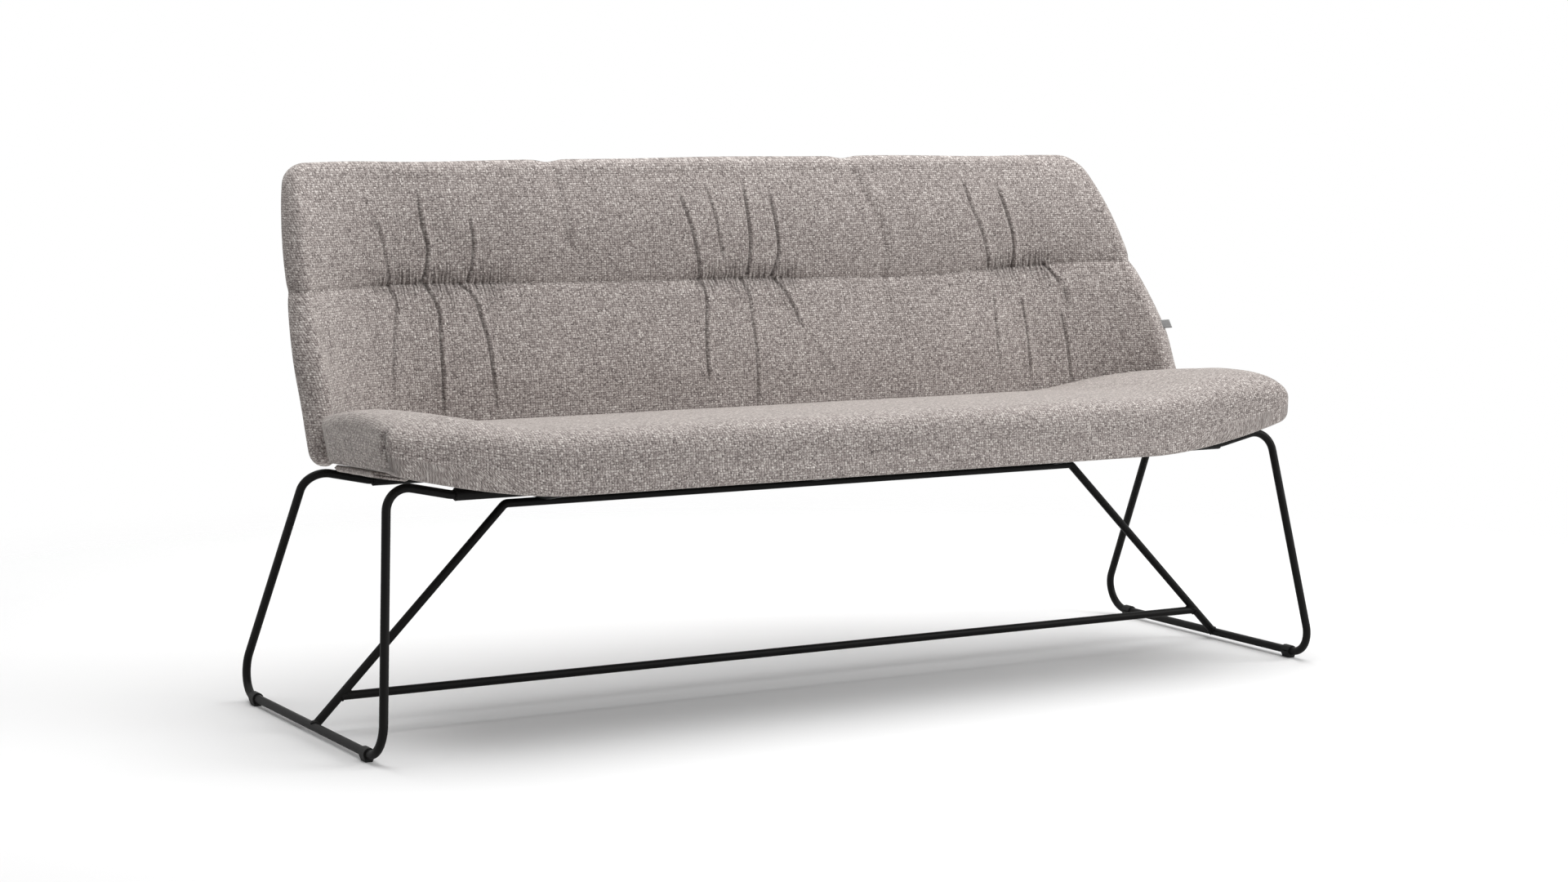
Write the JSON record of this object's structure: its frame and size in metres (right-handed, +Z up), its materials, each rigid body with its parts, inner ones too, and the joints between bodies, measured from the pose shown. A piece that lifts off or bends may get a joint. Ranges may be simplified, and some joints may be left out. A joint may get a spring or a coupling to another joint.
{
  "type": "upholstered bench",
  "caption": "Long upholstered bench with a wrap-round back and thin seat pad in woven fabric, on a black bent-rod frame with sled legs, a truss and a low stretcher.",
  "frame": {"origin": "on the floor, below the middle of the bench's bounding box", "axes": "+X along the bench to the sitter's left, -Y to the front, +Z up"},
  "size_m": [1.8044, 0.6434, 0.893],
  "materials": {
    "frame": "satin",
    "glide": "matte",
    "fixing": "satin",
    "board": "matte",
    "filling": "matte",
    "weave": "matte",
    "lining": "matte",
    "tag": "matte"
  },
  "bodies": {
    "root": {"sled_leg_left": "frame", "sled_leg_right": "frame", "seat_rail_front": "frame", "seat_rail_rear": "frame", "truss_bar": "frame", "stretcher_bar": "frame", "cross_plate_left": "frame", "cross_plate_centre": "frame", "cross_plate_right": "frame", "seat_tabs": "frame", "back_bracket_1": "frame", "back_bracket_2": "frame", "back_bracket_3": "frame", "back_bracket_4": "frame", "floor_glide_front_left": "glide", "floor_glide_rear_left": "glide", "floor_glide_front_right": "glide", "floor_glide_rear_right": "glide", "seat_screws": "fixing", "seat_inserts": "fixing", "bracket_seat_screws": "fixing", "bracket_back_screws": "fixing", "seat_board": "board", "back_board": "board", "seat_foam": "filling", "back_padding": "filling", "back_foam_lower": "filling", "back_foam_upper": "filling", "seat_cover": "weave", "back_cover": "weave", "end_wrap_left": "weave", "end_wrap_right": "weave", "dust_cover": "lining", "side_tag": "tag"}
  },
  "joints": []
}
